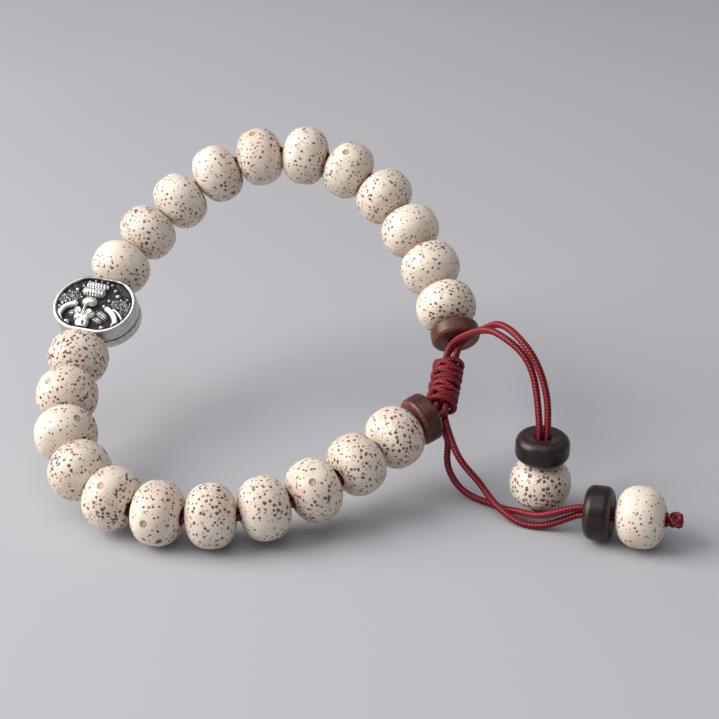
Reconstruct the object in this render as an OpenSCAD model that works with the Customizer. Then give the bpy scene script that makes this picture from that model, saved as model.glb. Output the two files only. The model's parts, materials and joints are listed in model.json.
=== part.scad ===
// Bracelet of prayer beads: twenty-two seed beads and a silver bead on a doubled
// braided cord, closed by a sliding knot whose four cord ends make two tails.
// Millimetres, +Z up. The origin is on the loop's cord, at the top between two
// beads, where a display stone or peg holds the leaning loop. The lowest beads
// and both tail beads stand on a level surface at ground_z.

/* [Seed beads] */
// Diameter of a loop bead
bead_d = 10; // [9.6:0.1:10]
// Length of a loop bead along the cord
bead_l = 7.5; // [7.3:0.1:7.6]
// Roundness of a bead's outline, 2 being an ellipse
bead_power = 2.3; // [2:0.1:2.4]
// Diameter of the hole through every bead and disc
bore_d = 2.6; // [2.4:0.1:2.8]

/* [Silver bead] */
// Width across the two relief faces
silver_w = 14.4; // [14:0.1:15]
// Length along the cord
silver_l = 11; // [10.8:0.1:11]
// Thickness between the two relief faces
silver_t = 4.8; // [4.6:0.1:5.2]
// Turn of the relief face about the cord
silver_turn = -88; // [-180:1:180]

/* [Closure discs] */
// Diameter of the two discs beside the sliding knot
closure_d = 8; // [7.6:0.1:8.2]
// Thickness of the upper closure disc
upper_closure_t = 2.7; // [2.5:0.1:2.8]
// Thickness of the lower closure disc
lower_closure_t = 3.2; // [3:0.1:3.3]

/* [Cord] */
// Diameter of one strand of braided cord
cord_d = 1.15; // [1:0.05:1.15]
// Distance between the two strands inside the beads
strand_gap = 1.2; // [1.2:0.02:1.24]

/* [Sliding knot] */
// Width of the sliding knot
knot_d = 5; // [4.8:0.1:5.2]
// Rows of wraps in the sliding knot
knot_rows = 4; // [4:1:5]
// Diameter of each of the four passages through the knot
passage_d = 1.28; // [1.24:0.02:1.32]

/* [Tails] */
// Diameter of a tail bead
tail_bead_d = 9.6; // [9.2:0.1:9.6]
// Length of a tail bead along its cord
tail_bead_l = 7.6; // [7.4:0.1:7.7]
// Diameter of a tail disc
tail_disc_d = 8.4; // [8:0.1:8.5]
// Thickness of a tail disc
tail_disc_t = 4.2; // [4:0.1:4.3]
// Diameter of the stopper knot at each tail's end
stopper_d = 2.8; // [2.6:0.1:3]
// Height of the upper tail's stopper knot, which its bead stands on
upper_stopper_l = 1.3; // [1.2:0.1:1.3]
// Length of the lower tail's stopper knot
lower_stopper_l = 2.2; // [1.8:0.1:2.4]

/* [Hidden] */
$fn = 48;

function bead_name(i) = str("seed_bead_", i < 10 ? "0" : "", i);

ground_z = -40.4;      // the level surface under the lowest beads
bead_gap = 0.6;        // between neighbouring beads, measured on the cord
disc_gap = 0.3;        // between a closure disc and its bead, measured on the cord
tail_gap = 0.3;        // between a tail's disc, bead and stopper
cord_sides = 8;
straight_run = 1;      // straight cord outside each mouth of the sliding knot

// Middle of the knot's two mouths
knot_bottom = [18.4, -38.8, -27.7];
knot_top = [20.1, -31.4, -23.1];
strand_pitch = 1.4;    // between neighbouring passages of the knot

// The loop's centre line, from the knot's bottom mouth round to its top mouth
LOOP_ROUTE = [
    [18.5, -39.0, -27.5],
    [11.5, -43.0, -29.5],
    [5.0, -51.0, -31.5],
    [-5.5, -57.0, -35.0],
    [-17.5, -59.5, -35.5],
    [-29.5, -57.5, -35.5],
    [-39.0, -49.5, -33.5],
    [-42.5, -38.5, -28.5],
    [-40.5, -24.5, -23.5],
    [-36.0, -11.0, -14.0],
    [-26.5, -1.0, -6.5],
    [-14.5, 1.5, 2.0],
    [0.0, 0.5, 2.0],
    [11.5, -5.0, -4.0],
    [18.0, -17.5, -13.5],
    [22.0, -29.5, -20.5],
    [20.5, -31.0, -22.5]
];
first_disc_from_knot = 2.1;

// Free cord of the upper tail, which arches over and comes down upright
UPPER_ROUTE_A = [
    [22.0, -30.0, -20.0],
    [24.5, -32.5, -17.0],
    [26.0, -36.0, -14.5],
    [27.0, -39.5, -12.5],
    [28.5, -43.0, -12.0],
    [30.0, -45.0, -13.0],
    [31.5, -46.5, -14.5],
    [33.0, -47.5, -17.5],
    [34.0, -48.5, -21.5]
];
UPPER_ROUTE_B = [
    [20.5, -30.0, -20.0],
    [23.0, -33.5, -17.0],
    [24.5, -37.5, -14.5],
    [26.0, -40.0, -13.5],
    [27.5, -42.5, -13.5],
    [29.5, -44.0, -14.5],
    [31.0, -45.5, -16.0],
    [32.0, -46.5, -18.5],
    [32.5, -48.0, -22.0]
];
upper_bead_at = [33.4, -49.2, -35.0];
upper_axis = [0, 0, -1];
upper_side = [1, 0, 0];

// Free cord of the lower tail, which drops to the surface and runs along it
LOWER_ROUTE_A = [
    [19.5, -42.5, -30.0],
    [20.5, -45.5, -32.0],
    [22.0, -46.5, -34.0],
    [24.0, -47.0, -36.0],
    [25.5, -48.0, -38.0],
    [26.5, -50.0, -38.5],
    [28.0, -52.0, -39.0],
    [30.0, -53.5, -39.8],
    [33.0, -54.5, -39.8],
    [36.0, -55.0, -38.5]
];
LOWER_ROUTE_B = [
    [18.0, -40.5, -30.0],
    [20.0, -40.0, -32.5],
    [19.0, -41.5, -36.0],
    [21.0, -44.0, -39.0],
    [23.5, -46.0, -39.8],
    [26.0, -47.5, -39.8],
    [28.0, -49.5, -39.8],
    [30.0, -52.0, -38.5],
    [32.5, -54.5, -38.0],
    [35.5, -55.5, -36.5]
];
lower_bead_at = [47.4, -58.5, -35.55];
lower_axis = [cos(4) * cos(18), -cos(4) * sin(18), sin(4)];
lower_side = [-sin(4) * cos(18), sin(4) * sin(18), cos(4)];

// ---- Vectors and curves ----
function unit(v) = v / norm(v);
function square_to(v, t) = unit(v - (v * t) * t);

// The control points with one more beyond each end, so the curve starts and ends on them
function beyond(p, i) =
    i < 0 ? 2 * p[0] - p[1]
    : i >= len(p) ? 2 * p[len(p) - 1] - p[len(p) - 2]
    : p[i];

// Point at t on the uniform cubic B-spline of the control points p
function on_curve(p, t) =
    let (i = min(floor(t), len(p) - 2), u = t - i, w = 1 - u)
    (w * w * w * beyond(p, i - 1)
        + (3 * u * u * u - 6 * u * u + 4) * beyond(p, i)
        + (3 * w * w * w - 6 * w * w + 4) * beyond(p, i + 1)
        + u * u * u * beyond(p, i + 2)) / 6;

// Where the curve first lies d away from a point, between t0 and t1, by halving
function reach(p, from, d, t0, t1, turns = 26) =
    let (t = (t0 + t1) / 2)
    turns == 0 ? t
    : norm(on_curve(p, t) - from) < d ? reach(p, from, d, t, t1, turns - 1)
    : reach(p, from, d, t0, t, turns - 1);

// Points on the curve, each a given straight distance from the one before
function walk(p, steps, i = 0, t = 0) =
    i == len(steps) ? []
    : let (next = reach(p, on_curve(p, t), steps[i], t, min(t + 1.5, len(p) - 1)))
      concat([on_curve(p, next)], walk(p, steps, i + 1, next));

function sampled(p, n) = [for (i = [0:n]) on_curve(p, i * (len(p) - 1) / n)];

// ---- The chain of links round the loop ----
LINK_LENGTHS = concat(
    [lower_closure_t + disc_gap],
    [for (i = [1:11]) bead_l + bead_gap],
    [silver_l],
    [for (i = [1:11]) bead_l + bead_gap],
    [upper_closure_t + disc_gap]
);
BENDS = walk(LOOP_ROUTE, concat([first_disc_from_knot], LINK_LENGTHS));
LOWER_CLOSURE = 0;
SILVER = 12;
UPPER_CLOSURE = 24;
function link_of_bead(i) = i <= 11 ? i : i + 1;
function link_at(k) = (BENDS[k] + BENDS[k + 1]) / 2;
function link_axis(k) = unit(BENDS[k + 1] - BENDS[k]);

// Puts a piece that lies along Z at a point, along an axis
module along(at, axis) {
    translate(at)
        rotate([0, acos(axis.z), atan2(axis.y, axis.x)])
            children();
}

// ---- Beads and discs ----
// Outline of a bead as a superellipse: at a = 0 the belly, at 90 the end
function bead_point(d, l, a) = [
    d / 2 * pow(cos(a), 2 / bead_power),
    l / 2 * sign(a) * pow(abs(sin(a)), 2 / bead_power)
];

module bore(l) {
    cylinder(d = bore_d, h = l + 2, center = true);
}

module seed_bead(d, l) {
    color("ivory")
        difference() {
            rotate_extrude()
                polygon([for (a = [-90:9:90]) bead_point(d, l, a)]);
            bore(l);
        }
}

module loop_bead(i) {
    along(link_at(link_of_bead(i)), link_axis(link_of_bead(i)))
        seed_bead(bead_d, bead_l);
}

// A disc with rounded edges
module turned_disc(d, t, edge) {
    difference() {
        rotate_extrude()
            union() {
                translate([0, -t / 2])
                    square([d / 2 - edge, t]);
                translate([0, edge - t / 2])
                    square([d / 2, t - 2 * edge]);
                for (y = [edge - t / 2, t / 2 - edge])
                    translate([d / 2 - edge, y])
                        circle(edge);
            }
        bore(t);
    }
}

module upper_closure_disc() {
    color("saddlebrown")
        along(link_at(UPPER_CLOSURE), link_axis(UPPER_CLOSURE))
            turned_disc(closure_d, upper_closure_t, 0.7);
}

module lower_closure_disc() {
    color("saddlebrown")
        along(link_at(LOWER_CLOSURE), link_axis(LOWER_CLOSURE))
            turned_disc(closure_d, lower_closure_t, 0.7);
}

// ---- Silver bead ----
silver_round = silver_l / 2;
silver_rim = 0.8;
silver_recess = 0.8;

// The oval outline of the relief face, inset by a margin
module silver_outline(inset) {
    union() {
        for (x = [-1, 1])
            translate([x * (silver_w / 2 - silver_round), 0])
                circle(silver_round - inset);
        square([silver_w - 2 * silver_round, 2 * (silver_round - inset)], center = true);
    }
}

// One face's relief: a ribbed barrel above a bat's head, between two curled wings
module bat_relief() {
    translate([0, 0, silver_t / 2 - silver_recess - 0.1]) {
        translate([0.2, 3.2, 0.4])
            rotate([0, 90, 0])
                cylinder(r = 0.9, h = 4.2, center = true);
        translate([-0.9, 0.9, 0])
            sphere(1.5);
        translate([-1.5, -2.2, 0])
            cylinder(r = 1.5, h = 1.2);
        for (side = [-1, 1])
            translate([side * 3.6, -0.6, 0])
                rotate([0, 0, 90 - side * 90])
                    rotate_extrude(angle = 180, start = -90)
                        translate([1.4, 0])
                            square([0.8, 1.1]);
    }
}

module silver_bead() {
    color("silver")
        along(link_at(SILVER), link_axis(SILVER))
            rotate([0, 0, silver_turn])
                rotate([90, 0, 0])
                    difference() {
                        union() {
                            difference() {
                                linear_extrude(silver_t, center = true)
                                    silver_outline(0);
                                for (side = [0, 180])
                                    rotate([0, side, 0])
                                        translate([0, 0, silver_t / 2 - silver_recess])
                                            linear_extrude(silver_recess + 1)
                                                silver_outline(silver_rim);
                            }
                            for (side = [0, 180])
                                rotate([0, side, 0])
                                    bat_relief();
                        }
                        rotate([90, 0, 0])
                            bore(silver_l);
                    }
}

// ---- Sliding knot ----
knot_axis = unit(knot_top - knot_bottom);
knot_side = square_to([1, 0, 0], knot_axis);
knot_front = -cross(knot_axis, knot_side);
knot_l = norm(knot_top - knot_bottom);
knot_wrap = 2.3;       // thickness of one wrap, a little over the pitch of the rows

// Where a strand passes a mouth of the knot: side and front are -1 or 1
function mouth(at, side, front) =
    at + strand_pitch / 2 * (side * knot_side + front * knot_front);

module sliding_knot() {
    row_pitch = (knot_l - knot_wrap) / (knot_rows - 1);
    color("crimson")
        difference() {
            along(knot_bottom, knot_axis)
                union() {
                    cylinder(r = knot_d / 2 - 0.6, h = knot_l);
                    for (row = [0:knot_rows - 1])
                        translate([0, 0, knot_wrap / 2 + row * row_pitch])
                            rotate_extrude()
                                translate([knot_d / 2 - knot_wrap / 2, 0])
                                    circle(knot_wrap / 2);
                }
            for (side = [-1, 1])
                for (front = [-1, 1])
                    along(mouth(knot_bottom, side, front) - knot_axis, knot_axis)
                        cylinder(d = passage_d, h = knot_l + 2);
        }
}

// ---- Cord ----
// Direction of the path at each of its points
function directions(path) = [
    for (i = [0:len(path) - 1])
        unit(path[min(i + 1, len(path) - 1)] - path[max(i - 1, 0)])
];

// A side direction carried along the path without twisting
function carried(dirs, side, i = 0) =
    i == len(dirs) ? []
    : let (s = square_to(side, dirs[i])) concat([s], carried(dirs, s, i + 1));

// A round tube along the path, closed at both ends
module tube(path, d) {
    dirs = directions(path);
    sides = carried(dirs, [0.3, 0.2, 0.9]);
    n = cord_sides;
    last = len(path) - 1;
    rings = [
        for (i = [0:last], j = [0:n - 1])
            path[i] + d / 2 * (cos(360 * j / n) * sides[i] + sin(360 * j / n) * cross(dirs[i], sides[i]))
    ];
    walls = [
        for (i = [0:last - 1], j = [0:n - 1])
            let (k = (j + 1) % n)
            [i * n + j, (i + 1) * n + j, (i + 1) * n + k, i * n + k]
    ];
    start_cap = [[for (j = [0:n - 1]) j]];
    end_cap = [[for (j = [n - 1:-1:0]) last * n + j]];
    polyhedron(rings, concat(walls, start_cap, end_cap));
}

// A loop strand goes down through the knot's front, round the loop beside the centre
// line, and down through the knot's back. side is 1 for the outer strand, which turns
// later below the knot, and -1 for the inner.
function loop_strand_path(side) =
    let (sides = carried(directions(BENDS), knot_side))
    concat(
        [mouth(knot_top, side, 1), mouth(knot_bottom, side, 1)],
        [mouth(knot_bottom, side, 1) - (0.7 + 0.4 * side) * knot_axis],
        [for (i = [0:len(BENDS) - 1]) BENDS[i] + side * strand_gap / 2 * sides[i]],
        [mouth(knot_top, side, -1) + straight_run * knot_axis],
        [mouth(knot_top, side, -1), mouth(knot_bottom, side, -1)]
    );

module loop_strand_a() {
    color("crimson")
        tube(loop_strand_path(1), cord_d);
}

module loop_strand_b() {
    color("crimson")
        tube(loop_strand_path(-1), cord_d);
}

// ---- Tails ----
tail_disc_step = (tail_disc_t + tail_bead_l) / 2 + tail_gap;
function disc_at(bead_at, axis) = bead_at - tail_disc_step * axis;

// Path of one tail strand: out of the knot, along its own route, then straight
// through the disc and the bead to the stopper
function tail_strand_path(from, out, route, bead_at, axis, across) =
    let (
        enter = disc_at(bead_at, axis) - tail_disc_t / 2 * axis + strand_gap / 2 * across,
        leave = bead_at + (tail_bead_l / 2 + tail_gap) * axis + strand_gap / 2 * across
    )
    concat(
        [from],
        sampled(
            concat([from + straight_run / 4 * out, from + straight_run * out], route,
                [enter - 1.2 * axis, enter]),
            20),
        [leave]
    );

module upper_tail_strand_a() {
    color("crimson")
        tube(
            tail_strand_path(mouth(knot_top, 1, 1), knot_axis, UPPER_ROUTE_A,
                upper_bead_at, upper_axis, upper_side),
            cord_d
        );
}

module upper_tail_strand_b() {
    color("crimson")
        tube(
            tail_strand_path(mouth(knot_top, -1, 1), knot_axis, UPPER_ROUTE_B,
                upper_bead_at, upper_axis, -upper_side),
            cord_d
        );
}

module lower_tail_strand_a() {
    color("crimson")
        tube(
            tail_strand_path(mouth(knot_bottom, 1, -1), -knot_axis, LOWER_ROUTE_A,
                lower_bead_at, lower_axis, -lower_side),
            cord_d
        );
}

module lower_tail_strand_b() {
    color("crimson")
        tube(
            tail_strand_path(mouth(knot_bottom, -1, -1), -knot_axis, LOWER_ROUTE_B,
                lower_bead_at, lower_axis, lower_side),
            cord_d
        );
}

module tail_disc() {
    color("#2b1a1c")
        turned_disc(tail_disc_d, tail_disc_t, 0.9);
}

// A stopper knot, its near face at the origin
module stopper(l) {
    color("crimson")
        rotate_extrude()
            union() {
                square([stopper_d / 2 - 0.5, l]);
                translate([0, 0.5])
                    square([stopper_d / 2, l - 1]);
                for (y = [0.5, l - 0.5])
                    translate([stopper_d / 2 - 0.5, y])
                        circle(0.5);
            }
}

module upper_tail_disc() {
    along(disc_at(upper_bead_at, upper_axis), upper_axis)
        tail_disc();
}

module upper_tail_bead() {
    along(upper_bead_at, upper_axis)
        seed_bead(tail_bead_d, tail_bead_l);
}

module upper_tail_stopper() {
    along(upper_bead_at + (tail_bead_l / 2 + tail_gap) * upper_axis, upper_axis)
        stopper(upper_stopper_l);
}

module lower_tail_disc() {
    along(disc_at(lower_bead_at, lower_axis), lower_axis)
        tail_disc();
}

module lower_tail_bead() {
    along(lower_bead_at, lower_axis)
        seed_bead(tail_bead_d, tail_bead_l);
}

module lower_tail_stopper() {
    along(lower_bead_at + (tail_bead_l / 2 + tail_gap) * lower_axis, lower_axis)
        stopper(lower_stopper_l);
}

for (i = [1:22])
    loop_bead(i);
silver_bead();
upper_closure_disc();
lower_closure_disc();
sliding_knot();
loop_strand_a();
loop_strand_b();
upper_tail_strand_a();
upper_tail_strand_b();
upper_tail_disc();
upper_tail_bead();
upper_tail_stopper();
lower_tail_strand_a();
lower_tail_strand_b();
lower_tail_disc();
lower_tail_bead();
lower_tail_stopper();
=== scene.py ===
"""Mala prayer beads: speckled seed beads and a silver bead on a braided cord,
closed by a sliding knot with two beaded tails, on a plain pale floor."""
import json
import math

import bpy
import numpy as np
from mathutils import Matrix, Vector


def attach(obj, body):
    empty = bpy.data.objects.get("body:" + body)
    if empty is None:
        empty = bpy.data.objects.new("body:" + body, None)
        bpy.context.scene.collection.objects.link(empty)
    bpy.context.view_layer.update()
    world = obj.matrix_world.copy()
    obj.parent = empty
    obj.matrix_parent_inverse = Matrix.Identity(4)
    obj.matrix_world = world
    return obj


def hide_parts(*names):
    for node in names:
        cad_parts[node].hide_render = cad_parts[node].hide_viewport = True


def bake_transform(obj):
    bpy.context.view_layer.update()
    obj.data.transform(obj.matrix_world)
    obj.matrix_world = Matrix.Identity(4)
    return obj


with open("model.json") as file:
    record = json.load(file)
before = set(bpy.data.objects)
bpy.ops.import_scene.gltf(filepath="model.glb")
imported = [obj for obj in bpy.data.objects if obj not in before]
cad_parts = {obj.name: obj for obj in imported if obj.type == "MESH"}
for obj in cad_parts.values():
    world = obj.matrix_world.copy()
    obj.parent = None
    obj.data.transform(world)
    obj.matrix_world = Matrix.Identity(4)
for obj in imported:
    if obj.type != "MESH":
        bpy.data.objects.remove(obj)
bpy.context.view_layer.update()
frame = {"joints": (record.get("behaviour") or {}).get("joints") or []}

MM = 0.001              # shapes are worked out in mm and placed in metres
TAU = 2 * math.pi
FLOOR_Z = -40.4 * MM    # the lowest point of the CAD
BORE_R = 1.3            # every bead's and disc's bore, in mm
JOINTS = {j["name"]: j for j in frame["joints"]}


# ---------------------------------------------------------------- small helpers
def arr(p):
    return np.array(p, float)


def unit(v):
    v = arr(v)
    return v / np.linalg.norm(v)


def square_to(v, t):
    """The direction of v with its part along t taken out."""
    v = arr(v)
    return unit(v - (v @ t) * t)


def spin_of(node):
    """A turning piece's middle, in mm, and its axis."""
    j = JOINTS[node + "_spin"]
    return arr(j["pos_m"]) / MM, unit(j["axis"])


def axes_along(axis):
    """The two side directions of a piece laid along axis, as the CAD lays it."""
    theta = math.acos(max(-1.0, min(1.0, axis[2])))
    phi = math.atan2(axis[1], axis[0])
    x = arr([math.cos(theta) * math.cos(phi), math.cos(theta) * math.sin(phi), -math.sin(theta)])
    y = arr([-math.sin(phi), math.cos(phi), 0])
    return x, y


def curve_at(p, t):
    """Point at t on the uniform cubic B-spline of the control points p."""
    n = len(p)

    def q(i):
        if i < 0:
            return 2 * p[0] - p[1]
        if i >= n:
            return 2 * p[n - 1] - p[n - 2]
        return p[i]

    i = min(int(math.floor(t)), n - 2)
    u = t - i
    w = 1 - u
    return (w ** 3 * q(i - 1) + (3 * u ** 3 - 6 * u * u + 4) * q(i)
            + (3 * w ** 3 - 6 * w * w + 4) * q(i + 1) + u ** 3 * q(i + 2)) / 6


def sampled(p, n):
    """n + 1 points along the spline of the control points p."""
    p = [arr(v) for v in p]
    return [curve_at(p, (len(p) - 1) * i / n) for i in range(n + 1)]


def evenly(points, step):
    """The same line with points at an even spacing."""
    p = arr(points)
    d = np.r_[0, np.cumsum(np.linalg.norm(np.diff(p, axis=0), axis=1))]
    n = max(2, int(round(d[-1] / step)))
    s = np.linspace(0, d[-1], n + 1)
    return np.stack([np.interp(s, d, p[:, k]) for k in range(3)], axis=1)


def new_mesh(name, verts_mm, faces, attributes):
    """A smooth mesh object in the row frame, from points in mm, with values per point for its material."""
    me = bpy.data.meshes.new(name)
    me.from_pydata((arr(verts_mm) * MM).tolist(), [], faces)
    me.polygons.foreach_set("use_smooth", [True] * len(me.polygons))
    for key, values in attributes.items():
        values = np.asarray(values, np.float32)
        kind, field = ("FLOAT_VECTOR", "vector") if values.ndim == 2 else ("FLOAT", "value")
        a = me.attributes.new(key, kind, "POINT")
        a.data.foreach_set(field, values.ravel())
    me.update()
    obj = bpy.data.objects.new(name, me)
    bpy.context.scene.collection.objects.link(obj)
    return obj


def grid_faces(rows, cols, close_rows=False, flip=False):
    """Faces between rows of cols points each, every row a closed ring."""
    faces = []
    for i in range(rows if close_rows else rows - 1):
        a = i * cols
        b = ((i + 1) % rows) * cols
        for j in range(cols):
            k = (j + 1) % cols
            f = (a + j, b + j, b + k, a + k)
            faces.append(f[::-1] if flip else f)
    return faces


def grid_caps(rows, cols):
    """Fans over the first and last row, round the two points that follow the grid."""
    first, last = rows * cols, (rows - 1) * cols
    fans = [(first, k, (k + 1) % cols) for k in range(cols)]
    return fans + [(first + 1, last + (k + 1) % cols, last + k) for k in range(cols)]


def ring_angles(n):
    return np.arange(n) * TAU / n


def turned(profile, cols):
    """Points of a profile of (radius, height) rows turned round the axis."""
    th = ring_angles(cols)
    r = profile[:, None, 0]
    height = np.broadcast_to(profile[:, None, 1], (len(profile), cols))
    return np.stack([r * np.cos(th), r * np.sin(th), height], -1).reshape(-1, 3)


# ---------------------------------------------------------------- materials
def material(name):
    m = bpy.data.materials.new(name)
    m.use_nodes = True
    nt = m.node_tree
    bsdf = nt.nodes["Principled BSDF"]
    return m, nt, bsdf


def node(nt, kind, **settings):
    n = nt.nodes.new(kind)
    for k, v in settings.items():
        setattr(n, k, v)
    return n


def link(nt, a, b):
    nt.links.new(a, b)


def math_node(nt, op, *values, clamp=False):
    n = node(nt, "ShaderNodeMath", operation=op, use_clamp=clamp)
    for i, v in enumerate(values):
        if isinstance(v, (int, float)):
            n.inputs[i].default_value = v
        else:
            link(nt, v, n.inputs[i])
    return n.outputs[0]


def mix_colour(nt, factor, a, b):
    n = node(nt, "ShaderNodeMix", data_type="RGBA")
    for socket, v in ((n.inputs[0], factor), (n.inputs[6], a), (n.inputs[7], b)):
        if isinstance(v, (int, float)):
            socket.default_value = v
        elif isinstance(v, tuple):
            socket.default_value = (*v, 1)
        else:
            link(nt, v, socket)
    return n.outputs[2]


def attribute(nt, name, out="Vector"):
    n = node(nt, "ShaderNodeAttribute", attribute_name=name)
    return n.outputs[out]


def noise(nt, vector, scale, detail=2.0, rough=0.5):
    n = node(nt, "ShaderNodeTexNoise")
    n.inputs["Scale"].default_value = scale
    n.inputs["Detail"].default_value = detail
    n.inputs["Roughness"].default_value = rough
    link(nt, vector, n.inputs["Vector"])
    return n


def ramp(nt, value, stops):
    """Colours or grey levels that follow value, from stops of (position, colour)."""
    n = node(nt, "ShaderNodeValToRGB")
    els = n.color_ramp.elements
    while len(els) < len(stops):
        els.new(0.5)
    for e, (pos, col) in zip(els, stops):
        e.position = pos
        e.color = (*col, 1) if isinstance(col, tuple) else (col, col, col, 1)
    link(nt, value, n.inputs[0])
    return n.outputs[0]


def bump(nt, height, strength, distance):
    n = node(nt, "ShaderNodeBump")
    n.inputs["Strength"].default_value = strength
    n.inputs["Distance"].default_value = distance
    link(nt, height, n.inputs["Height"])
    return n.outputs["Normal"]


def roughness(nt, bsdf, pattern, spread, low):
    """Roughness from low up to low + spread, as pattern goes."""
    rough = math_node(nt, "MULTIPLY_ADD", pattern, spread, low)
    link(nt, rough, bsdf.inputs["Roughness"])


def seed_material():
    """Ivory seed: dots of three sizes, a moon pit, cloudy tints and stains, each led by a mesh attribute."""
    pale, tan = (0.80, 0.715, 0.615), (0.71, 0.61, 0.505)
    rosy, dusty = (0.60, 0.42, 0.34), (0.66, 0.55, 0.42)
    faint_dot = (0.42, 0.28, 0.20)
    small_dots = (0.13, 0.060, 0.040), (0.30, 0.17, 0.115)
    big_dots = (0.050, 0.019, 0.013), (0.155, 0.066, 0.042)
    pit_floor, pit_rim = (0.46, 0.33, 0.17), (0.17, 0.085, 0.040)
    worn_mark = (0.085, 0.035, 0.018)
    m, nt, bsdf = material("seed")
    grain = attribute(nt, "grain")
    crowd = attribute(nt, "crowd", "Fac")
    moon = attribute(nt, "moon", "Fac")
    tint = attribute(nt, "tint", "Fac")
    # warped grain so that the dots aren't perfectly round
    warp = noise(nt, grain, 3.2, 2)
    offset = node(nt, "ShaderNodeVectorMath", operation="SCALE")
    link(nt, warp.outputs["Color"], offset.inputs[0])
    offset.inputs["Scale"].default_value = 0.34
    add = node(nt, "ShaderNodeVectorMath", operation="ADD")
    link(nt, grain, add.inputs[0])
    link(nt, offset.outputs[0], add.inputs[1])
    spot = add.outputs[0]

    def dots(scale, low, high, soft, presence):
        """A layer of dots with radii low to high, in the given share of its cells, and each dot's tone."""
        v = node(nt, "ShaderNodeTexVoronoi")
        v.inputs["Scale"].default_value = scale
        link(nt, spot, v.inputs["Vector"])
        parts = node(nt, "ShaderNodeSeparateColor")
        link(nt, v.outputs["Color"], parts.inputs[0])
        radius = math_node(nt, "MULTIPLY_ADD", parts.outputs[0], high - low, low)
        size = math_node(nt, "MULTIPLY", radius, crowd)
        edge = math_node(nt, "SUBTRACT", size, v.outputs["Distance"])
        inside = math_node(nt, "MULTIPLY", edge, soft, clamp=True)
        shown = math_node(nt, "GREATER_THAN", parts.outputs[1], 1 - presence)
        return math_node(nt, "MULTIPLY", inside, shown), parts.outputs[2]

    big, big_tone = dots(1.55, 0.20, 0.46, 9, 0.95)
    small, small_tone = dots(2.3, 0.14, 0.38, 6, 0.60)
    faint, _ = dots(2.9, 0.10, 0.34, 5, 0.60)
    # ivory with cloudy warm and cool patches
    cloud = noise(nt, grain, 0.28, 3)
    ivory = mix_colour(nt, ramp(nt, cloud.outputs[0], [(0.35, 0.0), (0.65, 1.0)]), pale, tan)
    ivory = mix_colour(nt, tint, ivory, rosy)
    fine = noise(nt, grain, 3.5, 4, 0.6)
    ivory = mix_colour(nt, math_node(nt, "MULTIPLY", fine.outputs[0], 0.22), ivory, dusty)
    colour = mix_colour(nt, math_node(nt, "MULTIPLY", faint, 0.45), ivory, faint_dot)
    small_dark = mix_colour(nt, small_tone, *small_dots)
    big_dark = mix_colour(nt, big_tone, *big_dots)
    colour = mix_colour(nt, math_node(nt, "MULTIPLY", small, 0.88), colour, small_dark)
    colour = mix_colour(nt, math_node(nt, "MULTIPLY", big, 0.95), colour, big_dark)
    # the moon: a small round pit, tan inside with a brown rim
    ring = ramp(nt, moon, [(0.0, 0.0), (0.42, 0.15), (0.62, 1.0), (0.80, 0.0)])
    inside_pit = ramp(nt, moon, [(0.60, 1.0), (0.72, 0.0)])
    colour = mix_colour(nt, math_node(nt, "MULTIPLY", inside_pit, 0.85), colour, pit_floor)
    colour = mix_colour(nt, math_node(nt, "MULTIPLY", ring, 0.85), colour, pit_rim)
    colour = mix_colour(nt, attribute(nt, "stain", "Fac"), colour, worn_mark)
    link(nt, colour, bsdf.inputs["Base Color"])
    # polished ivory, with duller and slightly sunk dots
    rough = math_node(nt, "MULTIPLY_ADD", fine.outputs[0], 0.12, 0.30)
    dotted = math_node(nt, "MAXIMUM", big, small)
    rough = math_node(nt, "ADD", rough, math_node(nt, "MULTIPLY", dotted, 0.25))
    link(nt, rough, bsdf.inputs["Roughness"])
    bsdf.inputs["Subsurface Weight"].default_value = 0.12
    bsdf.inputs["Subsurface Radius"].default_value = (1.0, 0.6, 0.35)
    bsdf.inputs["Subsurface Scale"].default_value = 0.6 * MM
    bsdf.inputs["Specular IOR Level"].default_value = 0.45
    height = math_node(nt, "MULTIPLY_ADD", fine.outputs[0], 0.25, math_node(nt, "MULTIPLY", dotted, -0.8))
    link(nt, bump(nt, height, 0.6, 0.05 * MM), bsdf.inputs["Normal"])
    return m


def cord_material():
    """Crimson thread with painted shade where the braid dips and a painted highlight on its crowns, with
    darker patches.
    """
    dark_patch = (0.21, 0.005, 0.014)
    sheen = (1.0, 0.45, 0.5, 1)
    m, nt, bsdf = material("cord")
    weave_and_shading = attribute(nt, "weave_and_shading", "Fac")
    grain = attribute(nt, "grain")
    patch = noise(nt, grain, 1.6, 3)
    thread = noise(nt, grain, 9.0, 2)
    # painted shade and highlight: near black in the braid's dips up to bright pink-crimson on its crowns
    base = ramp(nt, weave_and_shading, [(0.0, (0.014, 0.0005, 0.0015)), (0.48, (0.125, 0.002, 0.007)),
                            (0.76, (0.56, 0.010, 0.031)), (1.0, (0.98, 0.110, 0.150))])
    base = mix_colour(nt, math_node(nt, "MULTIPLY", patch.outputs[0], 0.45), base, dark_patch)
    link(nt, base, bsdf.inputs["Base Color"])
    roughness(nt, bsdf, thread.outputs[0], 0.20, 0.42)
    bsdf.inputs["Sheen Weight"].default_value = 0.08
    bsdf.inputs["Sheen Roughness"].default_value = 0.4
    bsdf.inputs["Sheen Tint"].default_value = sheen
    bsdf.inputs["Specular IOR Level"].default_value = 0.35
    link(nt, bump(nt, thread.outputs[0], 0.5, 0.04 * MM), bsdf.inputs["Normal"])
    return m


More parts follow.
